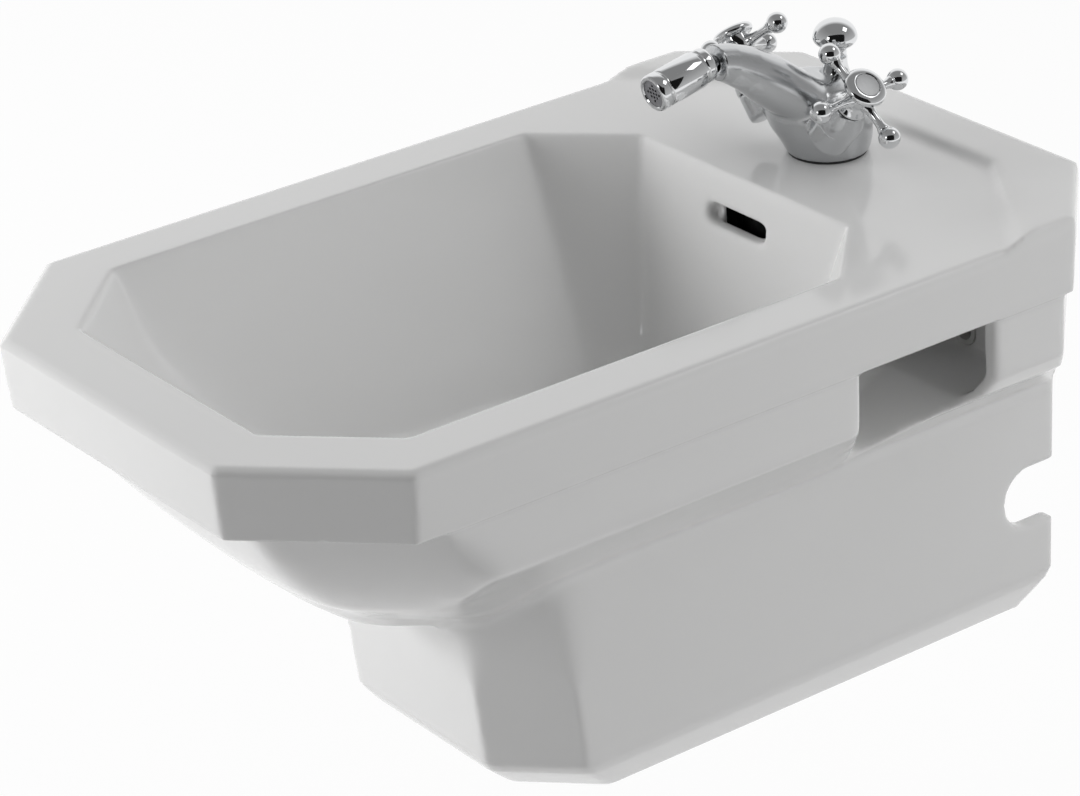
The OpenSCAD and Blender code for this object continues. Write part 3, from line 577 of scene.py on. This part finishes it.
def shade(piece: bpy.types.Object, angle: float | None = None) -> bpy.types.Object:
    """Shades smooth, all over or under an angle in degrees."""
    only(piece)
    if angle is None:
        bpy.ops.object.shade_smooth()
    else:
        bpy.ops.object.shade_smooth_by_angle(angle=math.radians(angle))
    return piece


def hand_over(piece: bpy.types.Object, name: str, body: Body,
              material: bpy.types.Material, nodes: Sequence[str]) -> bpy.types.Object:
    """Gives a finished piece its name, finish, body and nodes.

    Args:
        piece: The finished mesh.
        name: The piece's name.
        body: The body that it rides on.
        material: Its material.
        nodes: CAD nodes that it stands for.

    Returns:
        The same object.
    """
    piece.name = name
    piece.data.name = name
    piece.data.materials.clear()
    piece.data.materials.append(material)
    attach(piece, body.value)
    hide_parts(*nodes)
    LOG.info("%s: %d points, rides on %s", name, len(piece.data.vertices), body.value)
    return piece


def arc(centre: Range, radius: float, start: float, end: float, count: int) -> Profile:
    """Points of an arc.

    Args:
        centre: Its centre.
        radius: Its radius.
        start: First angle in degrees.
        end: Last angle in degrees.
        count: Number of points.

    Returns:
        The points.
    """
    return [(centre[0] + radius * math.cos(math.radians(start + (end - start) * i / (count - 1))),
             centre[1] + radius * math.sin(math.radians(start + (end - start) * i / (count - 1))))
            for i in range(count)]


def smooth_step(values: np.ndarray, low: float, high: float) -> np.ndarray:
    """Rises smoothly from 0 at low to 1 at high."""
    share = np.clip((values - low) / (high - low), 0, 1)
    return share * share * (3 - 2 * share)


# ---- china ------------------------------------------------------------------


@dataclass
class China:
    """The glazed body: rim, bowl, double wall and lower box."""

    finishes: Finishes
    grain: float = 2.0
    triangles: int = 190_000
    even_passes: int = 5
    bowl_passes: int = 220
    hull_passes: int = 110
    rolled_passes: int = 16
    # The bowl's limits and the waste's place, in millimetres.
    bowl_side: float = 141
    bowl_back: float = -150
    bowl_front: float = -541
    bowl_floor: float = -152
    waste_y: float = -255

    def _bowl(self, at: np.ndarray) -> np.ndarray:
        """Share of softness inside the bowl, which grows with the depth and spares the waste."""
        x, y, z = at.T
        inside = (np.abs(x) < self.bowl_side) & (y < self.bowl_back) & (y > self.bowl_front)
        inside = inside & (z > self.bowl_floor)
        from_waste = np.hypot(x, y - self.waste_y)
        front = 0.12 + 0.88 * smooth_step(-y, 215, 300)
        return inside * front * smooth_step(-z, 10, 60) * smooth_step(from_waste, 34, 46)

    def _hull(self, at: np.ndarray) -> np.ndarray:
        """Share of softness where the tub meets the lower box and in the pockets."""
        x, y, z = at.T
        nose = smooth_step(-z, 110, 135) * smooth_step(z, -215, -190)
        nose = nose * smooth_step(-y, 330, 360)
        tub = smooth_step(-z, 46, 60) * smooth_step(z, -190, -150) * smooth_step(-y, 330, 400)
        outside = (np.abs(x) > 60) | (y < -330)
        return np.maximum(nose * (np.abs(x) < 112), tub) * outside * smooth_step(z, -240, -200)

    def _rolled(self, at: np.ndarray) -> np.ndarray:
        """Share of softness at the pockets' sills and at the foot."""
        x, y, z = at.T
        sill = smooth_step(-z, 56, 84) * smooth_step(z, -185, -165) * smooth_step(-y, 88, 100)
        sill = sill * smooth_step(y, -226, -214) * smooth_step(np.abs(x), 84, 94)
        foot = smooth_step(-z, 246, 268) * (y < -4)
        return np.maximum(sill, foot)

    def build(self) -> None:
        """Makes the body."""
        piece = copy_of("ceramic_body", "china")
        apply(piece, "REMESH", mode="VOXEL", voxel_size=self.grain * MM, adaptivity=0)
        soften(piece, self.even_passes)
        soften(piece, self.bowl_passes, self._bowl)
        soften(piece, self.hull_passes, self._hull)
        soften(piece, self.rolled_passes, self._rolled)
        thin_out(piece, self.triangles)
        shade(piece)
        hand_over(piece, "china_body", Body.FIXED, self.finishes.glaze,
                  ["ceramic_body"])


# ---- tap --------------------------------------------------------------------


@dataclass
class Mixer:
    """The casting of the tap, with the guide of the lift rod."""

    finishes: Finishes
    grain: float = 0.8
    triangles: int = 120_000
    even_passes: int = 6
    shoulder_passes: int = 30

    def _shoulders(self, at: np.ndarray) -> np.ndarray:
        """Share of softness, which spares the base and fades towards the casting's top."""
        height = at[:, 2]
        return smooth_step(height, 8, 18) * smooth_step(-height, -70, -40)

    def casting(self) -> None:
        """Makes the soft cast body with its spout."""
        piece = copy_of("tap_body", "casting")
        apply(piece, "REMESH", mode="VOXEL", voxel_size=self.grain * MM, adaptivity=0)
        soften(piece, self.even_passes)
        soften(piece, self.shoulder_passes, self._shoulders)
        thin_out(piece, self.triangles)
        shade(piece)
        hand_over(piece, "tap_casting", Body.FIXED, self.finishes.cast, ["tap_body"])

    def guide(self) -> None:
        """Makes the flared guide of the lift rod."""
        profile = [(2.38, 20), (3.7, 20), (3.7, 44.5), (8.4, 44.5), (9, 45), (9, 46.2), (8.3, 47),
                   (7.6, 49.6), (7.1, 52), (6.9, 55), (7.0, 56.2), (6.6, 57), (2.38, 57)]
        piece = turned("guide", profile)
        piece.data.transform(Matrix.Translation(Vector((0, ROD_Y, 0)) * MM))
        shade(piece, angle=38)
        hand_over(piece, "rod_flare", Body.FIXED, self.finishes.chrome, ["rod_guide"])

    def build(self) -> None:
        """Makes all pieces."""
        self.casting()
        self.guide()


@dataclass
class Handle:
    """A cross handle with its bonnet, cap and disc."""

    finishes: Finishes
    word: str
    side: int
    turn: float
    body: Body
    hub: Point = (53.0, -105.0, 54.5)
    tilt: float = 40.0
    spoke: float = 30.0
    spoke_radius: float = 2.75
    ball_radius: float = 6.3

    def place(self, piece: bpy.types.Object, turn: float = 0.0) -> bpy.types.Object:
        """Puts a piece that was made about Z on the valve's axis."""
        hub = Vector((self.side * self.hub[0], self.hub[1], self.hub[2])) * MM
        piece.data.transform(Matrix.Translation(hub)
                             @ Matrix.Rotation(math.radians(self.side * self.tilt), 4, "Y")
                             @ Matrix.Rotation(math.radians(turn), 4, "Z"))
        return piece

    def cross(self) -> None:
        """Makes the hub with its four ball-tipped spokes."""
        hub = turned("hub", [(4.05, -11), (9.2, -11), (9.5, -10.6), (9.5, -9.4), (9.1, -8.8),
                             (8.1, -7.4), (7.2, -5.8), (7.1, -4), (7.8, -2), (8.5, 0), (8.5, 5.6),
                             (8.1, 6), (4.5, 6), (4.5, 3), (2.1, 3), (2.1, 1.5), (4.05, 1.5)])
        for quarter in range(4):
            arm = turned("arm", [(0, 6), (4.4, 6), (4.3, 8.6), (3.2, 10.6),
                                 (self.spoke_radius, 12.5), (self.spoke_radius - 0.25, 17),
                                 (self.spoke_radius, 21.5),
                                 (3.5, 23.4), (3.7, 24.2), (3.5, 25), (3.2, 25.6),
                                 (3.2, self.spoke), (0, self.spoke)], steps=32)
            tip = ball("tip", (0, 0, self.spoke), self.ball_radius)
            combine(arm, tip, "UNION")
            arm.data.transform(Matrix.Rotation(math.radians(90 * quarter), 4, "Z")
                               @ Matrix.Rotation(math.radians(90), 4, "Y"))
            combine(hub, arm, "UNION")
        self.place(hub, self.turn)
        shade(hub, angle=32)
        hand_over(hub, f"{self.word}_cross", self.body, self.finishes.chrome,
                  [f"{self.word}_handle"])

    def cap(self) -> None:
        """Makes the domed cap with its bare disc."""
        cap = turned("cap", [(0, 6), (10.8, 6), (12.0, 6.9), (12.5, 8.2), (12.4, 9.4), (11.7, 10.5),
                             (10.4, 11.3), (8.6, 11.75), (7.9, 11.8), (7.5, 11.5), (7.5, 10.8),
                             (0, 10.8)])
        self.place(cap)
        shade(cap, angle=40)
        hand_over(cap, f"{self.word}_dome", self.body, self.finishes.chrome,
                  [f"{self.word}_cap"])
        disc = turned("disc", [(0, 10.8), (7.35, 10.8), (7.4, 11.3), (7.1, 11.6), (5, 11.75),
                               (2.5, 11.85), (0, 11.9)])
        self.place(disc)
        shade(disc, angle=40)
        hand_over(disc, f"{self.word}_disc", self.body, self.finishes.disc,
                  [f"{self.word}_index"])

    def bonnet(self) -> None:
        """Makes the cover over the valve, which carries on the casting's shoulder."""
        cover = turned("bonnet", [(9.06, -27), (13.3, -27), (13.4, -25.5), (13.1, -22.5),
                                  (12.3, -19.5), (11.2, -16.8), (10.2, -14.2), (9.6, -12.6),
                                  (9.0, -12), (6.1, -12), (6.1, -15), (9.06, -15)])
        self.place(cover)
        shade(cover, angle=38)
        hand_over(cover, f"{self.word}_cover", Body.FIXED, self.finishes.cast,
                  [f"{self.word}_bonnet"])

    def build(self) -> None:
        """Makes all pieces."""
        self.cross()
        self.cap()
        self.bonnet()


@dataclass
class Aerator:
    """The ball-jointed housing at the spout's end."""

    finishes: Finishes
    centre: Point = (0.0, -175.0, 76.5)
    droop: float = 11.0
    length: float = 37.0
    socket_radius: float = 9.25

    def place(self, piece: bpy.types.Object) -> bpy.types.Object:
        """Puts a piece that was made about Z on the aerator's axis."""
        piece.data.transform(Matrix.Translation(Vector(self.centre) * MM)
                             @ Matrix.Rotation(math.radians(90 + self.droop), 4, "X"))
        return piece

    def housing(self) -> None:
        """Makes the housing with its collar, its grooves and its rolled end."""
        outline = [(6.6, -4.6), (8.0, -4.4), (9.2, -3.4), (10.0, -2.2), (10.2, -1.2), (10.2, 1.6),
                   (9.7, 2.3), (9.3, 2.6), (9.3, 4.2), (9.8, 4.5), (10.7, 4.8), (11.0, 5.4),
                   (11.0, 28.6), (10.7, 29.2), (10.3, 29.5), (10.3, 30.3), (10.7, 30.6),
                   (11.0, 31.2), (11.0, 35.4), (10.7, 36.4), (10.0, self.length),
                   (8.6, self.length), (8.05, 36.4), (8.05, 23.2), (5.05, 23.2), (5.05, 7.6)]
        inner = arc((0, 0), self.socket_radius, 54, -12, 9)
        inner += arc((0, 0), self.socket_radius, -16, -22.9, 3) + [(7.6, -3.6)]
        piece = turned("housing", outline + inner, steps=72)
        self.place(piece)
        shade(piece, angle=34)
        hand_over(piece, "aerator_shell", Body.AERATOR, self.finishes.chrome,
                  ["aerator_housing"])

    def build(self) -> None:
        """Makes all pieces."""
        self.housing()


@dataclass
class Lift:
    """The mushroom knob of the pop-up waste."""

    finishes: Finishes
    radius: float = 13
    middle: float = 68
    crown: float = 11
    belly: float = 7

    def _curve(self, height: float, angles: range) -> Profile:
        """Part of the knob's oval outline.

        Args:
            height: The oval's half height.
            angles: Angles of the points, in degrees over the level.

        Returns:
            The points.
        """
        return [(self.radius * math.cos(math.radians(angle)),
                 self.middle + height * math.sin(math.radians(angle))) for angle in angles]

    def build(self) -> None:
        """Makes the knob."""
        under = self._curve(self.belly, range(-50, 0, 6))
        top = self._curve(self.crown, range(0, 90, 6))
        profile = [(2.35, 58), (6.4, 58), (6.7, 58.6), (6.5, 60.2), (6.9, 61.6)] + under + top + [
            (0, 79), (0, 65), (2.35, 65)]
        piece = turned("knob", profile)
        piece.data.transform(Matrix.Translation(Vector((0, ROD_Y, 0)) * MM))
        shade(piece, angle=40)
        hand_over(piece, "pull_knob", Body.LIFT, self.finishes.chrome, ["lift_knob"])


@dataclass
class PlainNodes:
    """CAD nodes whose shape stays and that only get a finish."""

    finishes: Finishes
    groups: dict[str, list[str]] = field(default_factory=lambda: {
        "chrome": ["spout_ball", "lift_rod", "waste_flange", "waste_plug", "waste_body",
                   "waste_back_nut", "tail_pipe", "tail_nut", "pivot_nut", "pivot_rod"],
        "steel": ["tap_metal_washer", "linkage_strap", "strap_screw", "hot_screw", "cold_screw"],
        "brass": ["tap_back_nut", "hot_cartridge", "cold_cartridge", "hot_spindle", "cold_spindle"],
        "rubber": ["tap_base_gasket", "tap_rubber_washer", "aerator_washer", "waste_flange_seal",
                   "waste_gasket", "plug_seal", "tail_washer"],
        "plastic": ["fixing_sleeves", "ball_seat", "linkage_clip", "pivot_seat"],
        "dark_plastic": ["aerator_insert"],
    })

    def build(self) -> None:
        """Assigns the finishes."""
        for finish, names in self.groups.items():
            for name in names:
                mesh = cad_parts[name].data
                mesh.materials.clear()
                mesh.materials.append(getattr(self.finishes, finish))
                LOG.info("%s: %s", name, finish)


# ---- studio -----------------------------------------------------------------


@dataclass
class Studio:
    """Floor, lights, world and camera."""

    # The camera as it was fitted to the photo, in degrees and millimetres.
    azimuth: float = 54.01
    elevation: float = 25.78
    roll: float = -2.86
    distance: float = 2291.53
    target: Point = (50.09, -335.37, -60.0)
    focal: float = 139.77
    sensor: float = 36
    clip: Range = (0.05, 60)
    # The floor and the world, in metres and levels of brightness.
    floor_z: float = -0.42
    floor_size: float = 30
    floor_glow: float = 0.94
    floor_paint: float = 0.9
    floor_bounce: float = 0.65
    world_level: float = 0.03
    # The tent: its greys at the foot and the top, and its bright side.
    tent_radius: float = 3.4
    tent_heights: Range = (-0.3, 3.0)
    tent_greys: Range = (0.52, 0.26)
    tent_side: Range = (-0.81, 0.59)
    tent_edge: Range = (1.3, 2.3)
    tent_bright: float = 0.98
    # Cards: name, degrees from the front and over the level, size in metres, brightness.
    card_distance: float = 2.0
    card_aim: Point = (0, -0.2, 0.02)
    cards: tuple[tuple[str, float, float, Range, float], ...] = (
        ("camera_card", 62, 26, (3.6, 2.0), 0.01),
        ("window_card", 14, 27, (0.42, 0.5), 3.0),
        ("rear_window_card", 150, 50, (0.7, 0.5), 2.0),
    )
    # Lamps: name, degrees from the front and over the level, side in metres, power in watts.
    lamp_distance: float = 2.3
    lamps: tuple[tuple[str, float, float, float, float], ...] = (
        ("left_softbox", -36, 13, 1.4, 39.0), ("far_left_softbox", -80, 25, 1.4, 16.0),
        ("right_softbox", 144, 12, 1.4, 8.0), ("side_softbox", 105, 20, 1.4, 10.5),
        ("overhead_softbox", 144, 60, 2.8, 21.0), ("rear_softbox", -150, 35, 2.2, 6.0),
    )

    def camera(self) -> None:
        """Places the camera at the photograph's viewpoint."""
        azimuth, elevation, roll = (
            math.radians(angle) for angle in (self.azimuth, self.elevation, self.roll))
        back = Vector((math.sin(azimuth) * math.cos(elevation),
                       -math.cos(azimuth) * math.cos(elevation), math.sin(elevation)))
        right = (-back).cross(Vector((0, 0, 1))).normalized()
        up = right.cross(-back)
        turned_right = math.cos(roll) * right + math.sin(roll) * up
        turned_up = -math.sin(roll) * right + math.cos(roll) * up
        data = bpy.data.cameras.new("camera")
        data.sensor_width = self.sensor
        data.lens = self.focal
        data.clip_start, data.clip_end = self.clip
        piece = bpy.data.objects.new("camera", data)
        bpy.context.scene.collection.objects.link(piece)
        axes = Matrix((turned_right, turned_up, back)).transposed().to_4x4()
        place = (Vector(self.target) + back * self.distance) * MM
        piece.matrix_world = Matrix.Translation(place) @ axes
        bpy.context.scene.camera = piece

    def floor(self) -> None:
        """Makes the pale floor, which shows white to the camera."""
        bpy.ops.object.select_all(action="DESELECT")
        bpy.ops.mesh.primitive_plane_add(size=self.floor_size, location=(0, 0, 0))
        piece = bpy.context.object
        piece.name = "floor"
        piece.data.transform(Matrix.Translation((0, 0, self.floor_z)))
        shader = Shader("pale_floor")
        path = shader.node("ShaderNodeLightPath")
        seen = shader.value(path, "Is Camera Ray") + shader.value(path, "Is Glossy Ray")
        seen = seen + shader.value(path, "Is Transmission Ray")
        paint, dull = (
            shader.node("ShaderNodeBsdfDiffuse", inputs={"Color": (level, level, level, 1)})
            for level in (self.floor_paint, self.floor_bounce))
        ground = shader.node("ShaderNodeMixShader")
        shader.tree.links.new(path.outputs["Is Diffuse Ray"], ground.inputs[0])
        shader.tree.links.new(paint.outputs[0], ground.inputs[1])
        shader.tree.links.new(dull.outputs[0], ground.inputs[2])
        glow = shader.node("ShaderNodeEmission", inputs={"Color": (1, 1, 1, 1), "Strength": 1.0})
        mixed = shader.node("ShaderNodeMixShader")
        shader.tree.links.new((seen * self.floor_glow).socket, mixed.inputs[0])
        shader.tree.links.new(ground.outputs[0], mixed.inputs[1])
        shader.tree.links.new(glow.outputs[0], mixed.inputs[2])
        shader.tree.links.new(mixed.outputs[0], shader.output.inputs[0])
        piece.data.materials.append(shader.material)

    def world(self) -> None:
        """Makes a world that shows white and lights only faintly."""
        world = bpy.data.worlds.new("studio")
        bpy.context.scene.world = world
        world.use_nodes = True
        tree = world.node_tree
        tree.nodes.clear()
        path = tree.nodes.new("ShaderNodeLightPath")
        add = tree.nodes.new("ShaderNodeMath")
        add.operation = "ADD"
        tree.links.new(path.outputs["Is Camera Ray"], add.inputs[0])
        tree.links.new(path.outputs["Is Glossy Ray"], add.inputs[1])
        more = tree.nodes.new("ShaderNodeMath")
        more.operation = "ADD"
        tree.links.new(add.outputs[0], more.inputs[0])
        tree.links.new(path.outputs["Is Transmission Ray"], more.inputs[1])
        level = tree.nodes.new("ShaderNodeMapRange")
        level.inputs["To Min"].default_value = self.world_level
        level.inputs["To Max"].default_value = 1.0
        tree.links.new(more.outputs[0], level.inputs["Value"])
        background = tree.nodes.new("ShaderNodeBackground")
        background.inputs[0].default_value = (1, 1, 1, 1)
        tree.links.new(level.outputs[0], background.inputs[1])
        output = tree.nodes.new("ShaderNodeOutputWorld")
        tree.links.new(background.outputs[0], output.inputs[0])

    def lamp(self, name: str, place: Point, size: float, power: float) -> None:
        """Adds a soft lamp that faces the bidet and doesn't show in mirrors.

        Args:
            name: The lamp's name.
            place: Its place, in metres.
            size: Its side, in metres.
            power: Its power, in watts.
        """
        data = bpy.data.lights.new(name, "AREA")
        data.shape = "SQUARE"
        data.size = size
        data.energy = power
        piece = bpy.data.objects.new(name, data)
        bpy.context.scene.collection.objects.link(piece)
        piece.visible_glossy = False
        piece.location = place
        piece.rotation_mode = "QUATERNION"
        piece.rotation_quaternion = (Vector(place) - Vector(MIDDLE)).to_track_quat("Z", "Y")

    @staticmethod
    def around(azimuth: float, elevation: float, distance: float) -> Point:
        """A place round the bidet.

        Args:
            azimuth: Degrees from the front, towards +X.
            elevation: Degrees over the level.
            distance: Metres from the bidet's middle.

        Returns:
            The place, in metres.
        """
        turn, rise = math.radians(azimuth), math.radians(elevation)
        return (distance * math.sin(turn) * math.cos(rise),
                MIDDLE[1] - distance * math.cos(turn) * math.cos(rise),
                MIDDLE[2] + distance * math.sin(rise))

    def card(self, name: str, place: Point, size: Range, tone: float) -> None:
        """Adds a card that only shows in mirrors.

        Args:
            name: The card's name.
            place: Its middle, in metres.
            size: Its width and height, in metres.
            tone: Its brightness.
        """
        bpy.ops.object.select_all(action="DESELECT")
        bpy.ops.mesh.primitive_plane_add(size=1, location=(0, 0, 0))
        piece = bpy.context.object
        piece.name = name
        facing = (Vector(place) - Vector(self.card_aim)).to_track_quat("Z", "Y")
        turn = facing.to_matrix().to_4x4()
        piece.data.transform(Matrix.Translation(place) @ turn @ Matrix.Diagonal((*size, 1, 1)))
        shader = Shader(f"{name}_cloth")
        shader.glow(shader.mix(shader.noise(4, detail=2), (tone * 0.9,) * 3, (tone * 1.1,) * 3))
        piece.data.materials.append(shader.material)
        self.mirror_only(piece)

    def tent(self) -> None:
        """Makes the grey tent that only shows in mirrors."""
        bpy.ops.object.select_all(action="DESELECT")
        bpy.ops.mesh.primitive_uv_sphere_add(segments=48, ring_count=24, radius=self.tent_radius)
        piece = bpy.context.object
        piece.name = "tent"
        shader = Shader("tent_cloth")
        split = shader.node("ShaderNodeSeparateXYZ", inputs={"Vector": shader.place()})
        height = shader.ramp(shader.value(split, "Z"), *self.tent_heights)
        across = (shader.value(split, "X") * self.tent_side[0]
                  + shader.value(split, "Y") * self.tent_side[1])
        lit = shader.ramp(across, *self.tent_edge)
        foot, top = self.tent_greys
        grey = shader.mix(height + shader.noise(3, detail=2) * 0.1, (foot,) * 3, (top,) * 3)
        shader.glow(shader.blend(lit, grey, (self.tent_bright,) * 3))
        piece.data.materials.append(shader.material)
        self.mirror_only(piece)

    @staticmethod
    def mirror_only(piece: bpy.types.Object) -> None:
        """Hides a stage piece from all but mirrors."""
        piece.visible_camera = False
        piece.visible_diffuse = False
        piece.visible_transmission = False
        piece.visible_shadow = False

    def build(self) -> None:
        """Makes the studio."""
        self.floor()
        self.tent()
        for name, azimuth, elevation, size, tone in self.cards:
            self.card(name, self.around(azimuth, elevation, self.card_distance), size, tone)
        self.world()
        for name, azimuth, elevation, side, power in self.lamps:
            self.lamp(name, self.around(azimuth, elevation, self.lamp_distance), side, power)
        self.camera()
        bpy.context.scene.view_settings.view_transform = "Standard"


def main() -> None:
    """Builds everything in order."""
    logging.basicConfig(level=logging.INFO, format="%(message)s")
    finishes = Finishes()
    for part in (
        PlainNodes(finishes),
        China(finishes),
        Mixer(finishes),
        Handle(finishes, "hot", -1, 22.0, Body.HOT),
        Handle(finishes, "cold", 1, 4.0, Body.COLD),
        Aerator(finishes),
        Lift(finishes),
        Studio(),
    ):
        LOG.info("building %s", type(part).__name__)
        part.build()


if __name__ == "__main__":
    main()
